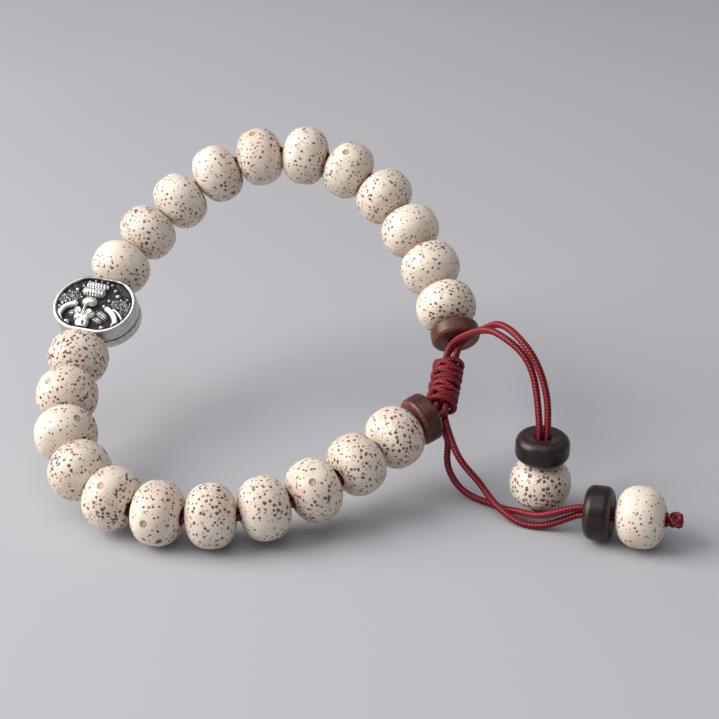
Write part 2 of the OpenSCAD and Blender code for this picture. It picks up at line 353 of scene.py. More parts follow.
def wood_material(name, dark, mid, light, grain_scale, rough_low):
    """Turned wood: grain along the axis, lighter end faces, and pale worn edges."""
    m, nt, bsdf = material(name)
    grain = attribute(nt, "grain")
    stretch = node(nt, "ShaderNodeMapping")
    stretch.inputs["Scale"].default_value = (1, 1, 0.25)
    link(nt, grain, stretch.inputs["Vector"])
    rings = noise(nt, stretch.outputs[0], grain_scale, 5, 0.6)
    pores = noise(nt, stretch.outputs[0], grain_scale * 5, 2)
    colour = ramp(nt, rings.outputs[0], [(0.30, dark), (0.52, mid), (0.75, light)])
    face = attribute(nt, "face", "Fac")
    colour = mix_colour(nt, math_node(nt, "MULTIPLY", face, 0.6), colour, light)
    wear = attribute(nt, "wear", "Fac")
    worn = math_node(nt, "MULTIPLY", wear, ramp(nt, pores.outputs[0], [(0.45, 0.0), (0.60, 1.0)]))
    rubbed = tuple(min(1, 3 * c) for c in light)
    colour = mix_colour(nt, math_node(nt, "MULTIPLY", worn, 0.5), colour, rubbed)
    link(nt, colour, bsdf.inputs["Base Color"])
    roughness(nt, bsdf, pores.outputs[0], 0.20, rough_low)
    bsdf.inputs["Specular IOR Level"].default_value = 0.38
    link(nt, bump(nt, pores.outputs[0], 0.35, 0.04 * MM), bsdf.inputs["Normal"])
    return m


def silver_material():
    """Antique silver, blackened in the recesses and rubbed bright on what stands out."""
    m, nt, bsdf = material("silver")
    depth = attribute(nt, "depth", "Fac")
    grain = attribute(nt, "grain")
    patch = noise(nt, grain, 1.3, 4, 0.6)
    fine = noise(nt, grain, 6.0, 3)
    patina = math_node(nt, "MULTIPLY", math_node(nt, "SUBTRACT", patch.outputs[0], 0.5), 0.60)
    level = math_node(nt, "ADD", depth, patina)
    colour = ramp(nt, level, [(0.16, (0.016, 0.013, 0.018)), (0.36, (0.16, 0.145, 0.15)),
                              (0.58, (0.60, 0.58, 0.55)), (0.85, (0.90, 0.88, 0.84))])
    link(nt, colour, bsdf.inputs["Base Color"])
    metal = ramp(nt, level, [(0.18, 0.15), (0.50, 1.0)])
    link(nt, metal, bsdf.inputs["Metallic"])
    rough = ramp(nt, level, [(0.20, 0.75), (0.55, 0.42), (0.90, 0.24)])
    rough = math_node(nt, "ADD", rough, math_node(nt, "MULTIPLY", fine.outputs[0], 0.10))
    link(nt, rough, bsdf.inputs["Roughness"])
    link(nt, bump(nt, fine.outputs[0], 0.35, 0.05 * MM), bsdf.inputs["Normal"])
    return m


MAT_SEED = seed_material()
MAT_CORD = cord_material()
MAT_SILVER = silver_material()
MAT_TAIL_DISC = wood_material("tail_disc", (0.007, 0.003, 0.004), (0.014, 0.006, 0.007),
                              (0.040, 0.016, 0.014), 0.9, 0.24)
MAT_CLOSURE = wood_material("closure_disc", (0.028, 0.009, 0.009), (0.070, 0.019, 0.013),
                            (0.15, 0.045, 0.024), 0.8, 0.24)


# ---------------------------------------------------------------- camera
def make_camera():
    """The photo's view: level across, looking 26 degrees down along +Y."""
    look_down = 26
    data = bpy.data.cameras.new("camera")
    data.sensor_width = 36
    data.lens = 75.1
    data.clip_start = 0.01
    cam = bpy.data.objects.new("camera", data)
    cam.location = (0.0055, -0.249, 0.0835)
    cam.rotation_euler = (math.radians(90 - look_down), 0, 0)
    bpy.context.scene.collection.objects.link(cam)
    bpy.context.scene.camera = cam


make_camera()

# ---------------------------------------------------------------- cords
CORD_R = 0.575          # mm, as are the lengths below
STRAND_HALF = 0.6       # half the distance between two strands in a bead
MOUTH_HALF = 0.7        # half the distance between the four strands at a mouth of the knot
TAIL_DISC_HALF = 2.1    # half a tail disc's thickness
KNOT_FROM_BEAD = 4.1    # from a tail bead's middle to its end knot
CARRIERS = 6            # bundles of thread each way round the braid
PICK = 0.52             # cord length of one crossing
TAIL_SIDES, LOOP_SIDES, WRAP_SIDES, STOPPER_SIDES = 42, 30, 22, 18
TAIL_STEP, LOOP_STEP, KNOT_STEP = 0.075, 0.11, 0.09     # spacing of the points along a cord
# the knot and the free routes, as in the CAD
KNOT_BOTTOM = arr([18.4, -38.8, -27.7])
KNOT_TOP = arr([20.1, -31.4, -23.1])
KNOT_AXIS = unit(KNOT_TOP - KNOT_BOTTOM)
KNOT_SIDE = square_to([1, 0, 0], KNOT_AXIS)
KNOT_FRONT = -np.cross(KNOT_AXIS, KNOT_SIDE)


def mouth(at, side, front):
    """Where one of the four strands passes the end of the knot."""
    return at + MOUTH_HALF * (side * KNOT_SIDE + front * KNOT_FRONT)


UPPER_ROUTE_A = [
    (22.0, -30.0, -20.0), (24.5, -32.5, -17.0), (26.0, -36.0, -14.5), (27.0, -39.5, -12.5),
    (28.5, -43.0, -12.0), (30.0, -45.0, -13.0), (31.5, -46.5, -14.5), (33.0, -47.5, -17.5),
    (34.0, -48.5, -21.5),
]
UPPER_ROUTE_B = [
    (20.5, -30.0, -20.0), (23.0, -33.5, -17.0), (24.5, -37.5, -14.5), (26.0, -40.0, -13.5),
    (27.5, -42.5, -13.5), (29.5, -44.0, -14.5), (31.0, -45.5, -16.0), (32.0, -46.5, -18.5),
    (32.5, -48.0, -22.0),
]
LOWER_ROUTE_A = [
    (19.5, -42.5, -30.0), (20.5, -45.5, -32.0), (22.0, -46.5, -34.0), (24.0, -47.0, -36.0),
    (25.5, -48.0, -38.0), (26.5, -50.0, -38.5), (28.0, -52.0, -39.0), (30.0, -53.5, -39.8),
    (33.0, -54.5, -39.8), (36.0, -55.0, -38.5),
]
LOWER_ROUTE_B = [
    (18.0, -40.5, -30.0), (20.0, -40.0, -32.5), (19.0, -41.5, -36.0), (21.0, -44.0, -39.0),
    (23.5, -46.0, -39.8), (26.0, -47.5, -39.8), (28.0, -49.5, -39.8), (30.0, -52.0, -38.5),
    (32.5, -54.5, -38.0), (35.5, -55.5, -36.5),
]
UPPER_BEAD, UPPER_AXIS = spin_of("upper_tail_bead")
LOWER_BEAD, LOWER_AXIS = spin_of("lower_tail_bead")
UPPER_DISC = spin_of("upper_tail_disc")[0]
LOWER_DISC = spin_of("lower_tail_disc")[0]
UPPER_SIDE = arr([1, 0, 0])
LOWER_SIDE = square_to([0, 0, 1], LOWER_AXIS)


def tail_path(start, out, route, disc, bead, axis, across):
    """Out of the knot, along the free route, then straight through disc and bead."""
    enter = disc - TAIL_DISC_HALF * axis + STRAND_HALF * across
    leave = bead + KNOT_FROM_BEAD * axis + STRAND_HALF * across
    free = sampled([start + 0.25 * out, start + out, *route, enter - 1.2 * axis, enter], 240)
    return evenly([start, *free, leave], TAIL_STEP)


def side_vectors(path):
    """Each point's direction, and a side direction that is carried along without twist."""
    d = np.gradient(path, axis=0)
    d /= np.linalg.norm(d, axis=1)[:, None]
    out = np.empty_like(d)
    s = arr([0.3, 0.2, 0.9])
    for i, t in enumerate(d):
        s = s - (s @ t) * t
        s = s / np.linalg.norm(s)
        out[i] = s
    return d, out


def braid(path, radius, sides, phase):
    """Points, faces, braid height that also carries painted shade and highlight, and grain of a round braided
    cord.
    """
    d, s1 = side_vectors(path)
    s2 = np.cross(d, s1)
    along = np.r_[0, np.cumsum(np.linalg.norm(np.diff(path, axis=0), axis=1))]
    th = ring_angles(sides)
    u = th / TAU * CARRIERS
    q = along[:, None] / PICK + phase
    a = u[None] + q
    b = u[None] - q
    # each bundle of threads runs over two of the others, then under two
    cell = (np.floor(a) + np.floor(b)) % 4
    first = cell < 2
    own = np.abs(np.sin(math.pi * np.where(first, a, b)))
    run = (np.where(first, b - np.floor(b), a - np.floor(a)) + cell % 2) / 2
    # the braid's height, which also sets the painted shade in its dips and the painted highlight on its
    # crowns
    weave_and_shading = own * np.sin(math.pi * run) ** 0.7
    r = radius * (0.84 + 0.16 * weave_and_shading)
    out = np.cos(th)[None, :, None] * s1[:, None] + np.sin(th)[None, :, None] * s2[:, None]
    v = path[:, None] + r[..., None] * out
    # painted shade: the bundles that run the other way are a little darker than the lit ones
    weave_and_shading = weave_and_shading * np.where(first, 1.0, 0.62)
    rows = len(path)
    verts = np.vstack([v.reshape(-1, 3), path[0], path[-1]])
    faces = grid_faces(rows, sides) + grid_caps(rows, sides)
    weave_and_shading = np.r_[weave_and_shading.ravel(), 0.3, 0.3]
    flat = np.broadcast_to(th[None], (rows, sides))
    height = np.broadcast_to(along[:, None], (rows, sides))
    grain = np.stack([np.cos(flat) * radius, np.sin(flat) * radius, height], -1)
    grain = np.vstack([grain.reshape(-1, 3), [0, 0, 0], [0, 0, along[-1]]])
    return verts, faces, weave_and_shading, grain


def make_strand(name, path, sides, phase, seed):
    verts, faces, weave_and_shading, grain = braid(path, CORD_R, sides, phase)
    obj = new_mesh(name, verts, faces, attributes={"weave_and_shading": weave_and_shading, "grain": grain + seed * 17.0})
    obj.data.materials.append(MAT_CORD)
    return obj


TAILS = {
    "upper_tail_strand_a": tail_path(mouth(KNOT_TOP, 1, 1), KNOT_AXIS, UPPER_ROUTE_A,
                                     UPPER_DISC, UPPER_BEAD, UPPER_AXIS, UPPER_SIDE),
    "upper_tail_strand_b": tail_path(mouth(KNOT_TOP, -1, 1), KNOT_AXIS, UPPER_ROUTE_B,
                                     UPPER_DISC, UPPER_BEAD, UPPER_AXIS, -UPPER_SIDE),
    "lower_tail_strand_a": tail_path(mouth(KNOT_BOTTOM, 1, -1), -KNOT_AXIS, LOWER_ROUTE_A,
                                     LOWER_DISC, LOWER_BEAD, LOWER_AXIS, -LOWER_SIDE),
    "lower_tail_strand_b": tail_path(mouth(KNOT_BOTTOM, -1, -1), -KNOT_AXIS, LOWER_ROUTE_B,
                                     LOWER_DISC, LOWER_BEAD, LOWER_AXIS, LOWER_SIDE),
}
STRANDS = {}
for k, (name, path) in enumerate(TAILS.items()):
    STRANDS[name] = make_strand("braided_" + name, path, TAIL_SIDES, 0.37 * k, k + 1)
    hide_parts(name)


# ---------------------------------------------------------------- loop cord
CHAIN = (["lower_closure_disc"] + [f"seed_bead_{i:02d}" for i in range(1, 12)] + ["silver_bead"]
         + [f"seed_bead_{i:02d}" for i in range(12, 23)] + ["upper_closure_disc"])
# how much of the chain each piece takes up, in mm; the rest are seed beads
SEED_LINK = 8.1
LINK = {"lower_closure_disc": 3.5, "silver_bead": 11.0, "upper_closure_disc": 3.0}


def loop_paths():
    """The two strands: down through the knot, round through every piece, and down through it again."""
    bends = []
    for name in CHAIN:
        at, axis = spin_of(name)
        half = LINK.get(name, SEED_LINK) / 2
        if not bends:
            bends.append(at - half * axis)
        bends.append(at + half * axis)
    bends = arr(bends)
    d = [unit(bends[min(i + 1, len(bends) - 1)] - bends[max(i - 1, 0)]) for i in range(len(bends))]
    sides = []
    s = KNOT_SIDE
    for t in d:
        s = square_to(s, t)
        sides.append(s)
    sides = arr(sides)
    out = {}
    for name, side in (("loop_strand_a", 1), ("loop_strand_b", -1)):
        corner = [mouth(KNOT_TOP, side, 1), mouth(KNOT_BOTTOM, side, 1),
                  mouth(KNOT_BOTTOM, side, 1) - (0.7 + 0.4 * side) * KNOT_AXIS]
        corner += list(bends + side * STRAND_HALF * sides)
        corner += [mouth(KNOT_TOP, side, -1) + KNOT_AXIS, mouth(KNOT_TOP, side, -1),
                   mouth(KNOT_BOTTOM, side, -1)]
        # each corner is rounded off, up to 0.8 mm either side of it
        rounded = [corner[0]]
        for i in range(1, len(corner) - 1):
            a, b, c = corner[i - 1], corner[i], corner[i + 1]
            cut = min(0.8, 0.4 * np.linalg.norm(b - a), 0.4 * np.linalg.norm(c - b))
            p, r = b + cut * unit(a - b), b + cut * unit(c - b)
            steps = np.linspace(0, 1, 7)
            rounded += [(1 - t) ** 2 * p + 2 * t * (1 - t) * b + t * t * r for t in steps]
        rounded.append(corner[-1])
        out[name] = evenly(rounded, LOOP_STEP)
    return out


for k, (name, path) in enumerate(loop_paths().items()):
    strand = make_strand("braided_" + name, path, LOOP_SIDES, 0.2 * k, 6 + k)
    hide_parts(name)
    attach(strand, "loop_cord")


# ---------------------------------------------------------------- seed beads
def smooth_noise(seed, dirs, waves, low, high):
    """Seeded waves with frequencies low to high over the directions dirs, about -1 to 1."""
    rng = np.random.default_rng(seed)
    total = np.zeros(len(dirs))
    for _ in range(waves):
        k = rng.normal(size=3)
        k *= rng.uniform(low, high) / np.linalg.norm(k)
        total += np.sin(dirs @ k * 2 + rng.uniform(0, 6.28))
    return total / math.sqrt(waves) / 1.3


def seed_bead(name, d, length, seed, moon=None, dense=None, amount=1.0, stains=()):
    """A turned seed with a bore. moon and dense are directions in the row frame: where its moon
    faces, and where its dots crowd. amount scales the dots."""
    at, axis = spin_of(name)
    sx, sy = axes_along(axis)
    rng = np.random.default_rng(seed)
    power = 2.42            # of the superellipse that the seed's outline follows
    lip_r = 1.5
    cols, n = 128, 66
    alpha = np.linspace(-math.pi / 2, math.pi / 2, n)
    r = d / 2 * np.abs(np.cos(alpha)) ** (2 / power)
    z = length / 2 * np.sign(np.sin(alpha)) * np.abs(np.sin(alpha)) ** (2 / power)
    keep = r > lip_r
    zc = length / 2 * (1 - (lip_r / (d / 2)) ** power) ** (1 / power)
    lip = [(BORE_R, -zc + 0.30), (BORE_R + 0.03, -zc + 0.12), (1.40, -zc + 0.03)]
    profile = arr([(BORE_R, 0.0)] + lip + list(zip(r[keep], z[keep])) + [(x, -y) for x, y in lip[::-1]])
    local = turned(profile, cols)
    dirs = local / np.linalg.norm(local, axis=1)[:, None]
    outer = np.clip((np.hypot(local[:, 0], local[:, 1]) - 1.6) / 0.8, 0, 1)
    lump = smooth_noise(seed, dirs, 6, 0.8, 2.2)
    local = local + dirs * (outer * (-0.05 + 0.05 * lump))[:, None]
    basis = np.stack([sx, sy, axis])
    if moon is None:
        moon = rng.normal(size=3)
        moon[1] = abs(moon[1]) + 0.6
    m = basis @ unit(moon)
    m = unit([m[0], m[1], np.clip(m[2], -0.5, 0.5)])
    # the pit is on the outer surface only, with a slight swelling round it
    k = np.argmax(dirs @ m + (outer < 1) * -9)
    dist = np.linalg.norm(local - local[k], axis=1)
    pit = np.clip(1 - dist / 0.42, 0, 1)
    local = local - dirs * (0.22 * pit ** 0.6)[:, None]
    local = local + dirs * (0.03 * np.exp(-((dist - 0.50) / 0.10) ** 2))[:, None]
    # dots crowd one side and thin out round the moon
    dn = basis @ unit(dense if dense is not None else rng.normal(size=3))
    crowd = 1.0 + 0.17 * (dirs @ dn) + 0.12 * smooth_noise(seed + 50, dirs, 5, 1.0, 2.5)
    crowd *= amount * (1 - 0.75 * np.exp(-(dist / 1.5) ** 2))
    tint = np.clip(0.05 + 0.30 * (dirs @ dn) + 0.25 * smooth_noise(seed + 90, dirs, 5, 1.0, 3.0), 0, 0.55)
    stain = np.zeros(len(local))
    for direction, width, turn in stains:
        # a ragged oval, twice as long as wide
        s = basis @ unit(direction)
        k = np.argmax(dirs @ s)
        off = local - local[k]
        t1 = square_to([math.cos(turn), math.sin(turn), 0.3], dirs[k])
        t2 = np.cross(dirs[k], t1)
        e = np.hypot(off @ t1 / (2.0 * width), off @ t2 / width)
        rough = 0.35 * smooth_noise(seed + 7, local / 2, 6, 3, 7)
        stain = np.maximum(stain, np.clip((1 + rough - e) * 4, 0, 1) * 0.95)
    faces = grid_faces(len(profile), cols, close_rows=True, flip=True)
    obj = new_mesh("carved_" + name, at + local @ basis, faces, attributes={
        "grain": local + rng.uniform(-90, 90, size=3),
        "crowd": crowd, "tint": tint, "moon": np.clip(dist / 0.8, 0, 1), "stain": stain})
    obj.data.materials.append(MAT_SEED)
    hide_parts(name)
    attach(obj, name)
    return obj


# What sets single beads apart: where the moon faces, how dense the dots are, and worn brown marks,
# each a direction, a half width in mm and a turn.
TRAITS = {
    "seed_bead_12": dict(amount=0.92, dense=(0, -0.5, -0.6)),
    "seed_bead_16": dict(moon=(-0.2, -0.3, 0.9)),
    "seed_bead_18": dict(moon=(-0.1, -0.5, 0.8)),
    "seed_bead_21": dict(stains=(((0.4, -0.3, 0.9), 0.25, 0.6),)),
    "seed_bead_11": dict(amount=1.12),
    "seed_bead_10": dict(moon=(-0.5, -0.5, 0.8), dense=(0.8, -0.6, 0)),
    "seed_bead_09": dict(moon=(0.5, -0.4, 0.8), amount=0.95),
    "seed_bead_08": dict(stains=(((0.7, -0.3, 0.6), 0.28, 0.4),)),
    "seed_bead_07": dict(moon=(-0.2, -0.6, 0.8)),
    "seed_bead_06": dict(moon=(-0.3, -0.9, 0.2), dense=(0.1, -0.4, 0.9), amount=0.9,
                         stains=(((0.1, -0.9, -0.4), 0.42, 0.1),)),
    "seed_bead_05": dict(stains=(((0, -0.9, 0.1), 0.10, 0.0),)),
    "seed_bead_03": dict(moon=(0, -0.7, 0.7), dense=(-0.8, -0.5, 0),
                         stains=(((0.4, -0.8, 0.2), 0.30, 0.8),)),
    "seed_bead_02": dict(stains=(((0.4, -0.8, 0.4), 0.16, 0.9),)),
}
for i in range(1, 23):
    name = f"seed_bead_{i:02d}"
    seed_bead(name, 10.0, 7.85, 100 + i, **TRAITS.get(name, {}))
UPPER_TAIL_BEAD = seed_bead("upper_tail_bead", 9.6, 7.6, 431, amount=1.08)
LOWER_TAIL_BEAD = seed_bead("lower_tail_bead", 9.6, 7.6, 432, amount=0.92)


# ---------------------------------------------------------------- discs
def turned_disc(name, d, t, edge, mat, seed, groove=None, dish=0.0):
    """A turned disc of diameter d and thickness t, with edges rounded to radius edge. groove is the
    height of a line cut round it, and dish is how far its faces sink towards the bore."""
    at, axis = spin_of(name)
    sx, sy = axes_along(axis)
    R, H = d / 2, t / 2
    # half the profile, from the bore out, as (radius, height, share of end face)
    prof = [(BORE_R, 0.0, 0.0), (BORE_R, -H + 0.35, 0.0), (BORE_R + 0.08, -H + 0.10 + dish, 0.6)]
    for x in np.linspace(BORE_R + 0.35, R - edge - 0.1, 6):
        f = (x - BORE_R) / (R - edge - BORE_R)
        prof.append((x, -H + dish * (1 - f ** 2), 1.0))
    for a in np.linspace(-90, 0, 11):
        c = math.radians(a)
        prof.append((R - edge + edge * math.cos(c), -H + edge + edge * math.sin(c), max(0.0, -a / 90 - 0.5)))
    for y in np.linspace(-H + edge, H - edge, 16)[1:-1]:
        dip = 0.0 if groove is None else 0.09 * math.exp(-((y - groove) / 0.12) ** 2)
        prof.append((R - dip, y, 0.0))
    # the other face mirrors the first: all the points before the wall, but for the bore's middle
    prof += [(x, -y, f) for x, y, f in prof[1:20][::-1]]
    prof = arr(prof)
    cols = 112
    rows = len(prof)
    local = turned(prof, cols)
    face = np.broadcast_to(prof[:, None, 2], (rows, cols)).ravel()
    dirs = local / np.maximum(1e-6, np.linalg.norm(local, axis=1))[:, None]
    local = local - dirs * (0.03 + 0.03 * smooth_noise(seed, dirs, 5, 1, 2.5))[:, None]
    rim = np.hypot(local[:, 0], local[:, 1]) / R
    from_edge = np.abs(np.abs(local[:, 2]) - (H - 0.25 * edge))
    wear = np.clip(1 - from_edge / 0.5, 0, 1) * (rim > 0.8)
    basis = np.stack([sx, sy, axis])
    faces = grid_faces(rows, cols, close_rows=True, flip=True)
    obj = new_mesh("turned_" + name, at + local @ basis, faces,
                   attributes={"grain": local + seed * 13.0, "face": face, "wear": wear})
    obj.data.materials.append(mat)
    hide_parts(name)
    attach(obj, name)
    return obj


turned_disc("lower_closure_disc", 8.0, 3.2, 0.7, MAT_CLOSURE, 11, groove=0.75)
turned_disc("upper_closure_disc", 8.0, 2.7, 0.7, MAT_CLOSURE, 12)
UPPER_TAIL_DISC = turned_disc("upper_tail_disc", 8.4, 4.2, 1.45, MAT_TAIL_DISC, 13, dish=0.15)
LOWER_TAIL_DISC = turned_disc("lower_tail_disc", 8.4, 4.2, 1.35, MAT_TAIL_DISC, 14, dish=0.30)


# ---------------------------------------------------------------- silver bead
def stroke(x, y, points, radius, top, groove=0.0):
    """Height of a rounded ridge that follows points; 0 and below is none."""
    best = np.full(x.shape, 9.0)
    for (ax, ay), (bx, by) in zip(points[:-1], points[1:]):
        dx, dy = bx - ax, by - ay
        t = np.clip(((x - ax) * dx + (y - ay) * dy) / (dx * dx + dy * dy), 0, 1)
        best = np.minimum(best, np.hypot(x - ax - t * dx, y - ay - t * dy))
    h = np.where(best < radius, top * np.sqrt(np.clip(1 - (best / radius) ** 2, 0, 1)) ** 0.8, -1)
    if groove:
        h = h - groove * np.exp(-(best / (0.22 * radius)) ** 2) * (best < radius)
    return h


def ball(x, y, cx, cy, radius, top, squash=1.0, turn=0.0):
    """Height of a rounded boss at (cx, cy), squashed across its own turned length."""
    c, s = math.cos(turn), math.sin(turn)
    u = (x - cx) * c + (y - cy) * s
    v = (-(x - cx) * s + (y - cy) * c) / squash
    e = np.hypot(u, v) / radius
    return np.where(e < 1, top * np.sqrt(np.clip(1 - e * e, 0, 1)), -1)


def smooth_line(points):
    p = [arr((*q, 0)) for q in points]
    return [tuple(v[:2]) for v in sampled([p[0], *p, p[-1]], 40)]


def relief(x, y):
    """Height above the sunk ground: a bat's head under a ribbed barrel, between curled wings."""
    h = np.zeros(x.shape)

    def put(g):
        np.maximum(h, g, out=h)

    def dent(deep, cx, cy, w, v):
        h[...] -= deep * np.exp(-(((x - cx) / w) ** 2 + ((y - cy) / v) ** 2))

    # granulated patches (middle, half width, half height) and a sandy ground behind the barrel
    patches = ((-4.3, 1.4, 1.35, 1.0), (4.1, 1.0, 1.3, 1.0), (5.6, 0.1, 0.9, 1.3), (-5.9, 0.6, 0.7, 0.9))
    for cx, cy, w, v in patches:
        e = np.hypot((x - cx) / w, (y - cy) / v)
        grit = 0.5 + 0.5 * np.sin(x * 12 + 2.5 * np.sin(5 * y)) * np.sin(y * 13 + 2.5 * np.sin(4.3 * x))
        put(np.where(e < 1, 0.25 + 0.50 * grit, -1))
    sand = 0.5 + 0.5 * np.sin(x * 9 + 2.5 * np.sin(7 * y)) * np.sin(y * 10 + 2.5 * np.sin(6.3 * x))
    put(0.34 * sand * np.clip(y + 0.4, 0, 1))
    # wings: thick curls with a groove, each with a ridge outside it
    left = smooth_line([(-3.3, -0.2), (-4.3, -0.5), (-5.2, -1.3), (-5.5, -2.5), (-5.1, -3.6),
                        (-4.2, -4.4), (-3.4, -4.4)])
    right = smooth_line([(2.6, -0.4), (3.6, -0.9), (4.5, -1.8), (4.9, -3.0), (4.5, -4.1),
                         (3.7, -4.6), (3.0, -4.4)])
    put(stroke(x, y, left, 0.56, 1.35, 0.10))
    put(stroke(x, y, right, 0.56, 1.35, 0.22))
    curl_ends = ((-3.4, 0.1, 0.46, 1.3), (-3.6, -3.9, 0.60, 1.45),
                 (1.9, 0.0, 0.42, 1.2), (2.9, -4.1, 0.50, 1.35))
    for cx, cy, r, top in curl_ends:
        put(ball(x, y, cx, cy, r, top))
    outer = smooth_line([(3.7, -0.3), (4.6, -0.7), (5.5, -1.5), (6.1, -2.6), (6.1, -3.6), (5.6, -4.5)])
    put(stroke(x + 0.06 * np.sin(y * 9), y, outer, 0.27, 1.05))
    band = smooth_line([(-4.6, 0.2), (-5.4, -0.2), (-6.1, -1.1), (-6.3, -2.3), (-6.0, -3.4), (-5.3, -4.4)])
    ribs = 0.5 + 0.5 * np.sin(np.arctan2(y + 2.2, x + 3.4) * 26)
    put(stroke(x, y, band, 0.36, 1.05) * (0.40 + 0.60 * ribs))
    # grains round the edge
    grains = ((3.4, 2.5, 0.48), (2.6, 3.5, 0.36), (-4.1, 2.7, 0.42), (-3.3, 3.6, 0.30), (6.0, 1.5, 0.30),
              (5.2, 2.1, 0.26), (-2.6, 4.6, 0.24), (-1.6, 4.9, 0.24), (-0.5, 5.0, 0.24), (0.6, 4.9, 0.24),
              (1.6, 4.5, 0.28), (-5.3, 2.1, 0.26), (6.5, -0.6, 0.28), (2.3, 1.3, 0.34), (-2.7, 1.2, 0.28))
    for cx, cy, r in grains:
        put(ball(x, y, cx, cy, r, 1.0))
    # ears: broad leaves with folds
    leaves = ((-3.0, -1.9, 1.15, 0.10, 0.60), (1.9, -1.75, 1.55, -0.45, 0.55), (1.5, -2.7, 1.25, -0.30, 0.50))
    for cx, cy, r, turn, narrow in leaves:
        leaf = ball(x, y, cx, cy, r, 0.80, narrow, turn)
        across = -(x - cx) * math.sin(turn) + (y - cy) * math.cos(turn)
        put(leaf - 0.22 * (leaf > 0) * (0.5 + 0.5 * np.cos(across * 16)))
    # the head: brow, cheeks, a long snout that tapers to the chin
    put(ball(x, y, -0.9, 0.45, 1.50, 2.00, 0.72))
    put(ball(x, y, -2.1, -1.7, 0.95, 1.50, 0.85))
    put(ball(x, y, 0.2, -1.9, 0.95, 1.50, 0.85))
    for cx, cy, r, top in ((-1.2, -2.6, 1.65, 1.65), (-0.9, -3.5, 1.45, 1.70), (-0.65, -4.2, 1.05, 1.60)):
        put(ball(x, y, cx, cy, r, top, 0.85, -0.5))
    # hollows beside the nose, and its ridge
    dent(1.0, -1.62, -1.25, 0.20, 0.85)
    dent(1.0, -0.58, -1.10, 0.18, 0.60)
    put(stroke(x, y, [(-1.12, -0.3), (-1.05, -2.4)], 0.32, 2.10))
    # ringed eyes
    for cx, cy in ((-0.1, -1.75), (-2.2, -1.65)):
        e = np.hypot(x - cx, y - cy)
        put(np.where(e < 0.60, 1.40 + 0.45 * np.exp(-((e - 0.44) / 0.10) ** 2) + 0.35 * (e < 0.17), -1))
    # nostrils, and a crease above and below them
    dent(0.7, -0.45, -3.75, 0.18, 0.30)
    dent(0.4, -1.20, -3.7, 0.13, 0.22)
    h -= 0.45 * np.exp(-((y + 3.0 - 0.6 * (x + 1.6)) / 0.13) ** 2) * (np.abs(x + 1.9) < 0.7)
    h -= 0.45 * np.exp(-((y + 4.55 + 0.25 * (x + 0.6)) / 0.11) ** 2) * (np.abs(x + 0.6) < 0.7)
    # the barrel: two ribbed tiers
    for cy, half, top, x0, x1 in ((3.80, 0.62, 1.85, -2.8, 1.3), (2.45, 0.98, 2.25, -2.85, 1.15)):
        u = (x - (x0 + x1) / 2) / ((x1 - x0) / 2)
        v = (y - cy + 0.08 * u) / half
        inside = np.abs(u) ** 3 + np.abs(v) ** 3 < 1
        rise = top * np.sqrt(np.clip(1 - np.abs(v) ** 2.5, 0, 1)) * np.sqrt(np.clip(1 - 0.6 * u * u, 0, 1))
        notch = 0.70 * np.clip(np.sin(x * 12 + 0.8 * y), 0, 1) * (np.abs(v + 0.25) < 0.72)
        put(np.where(inside, rise - notch, -1))
    return h


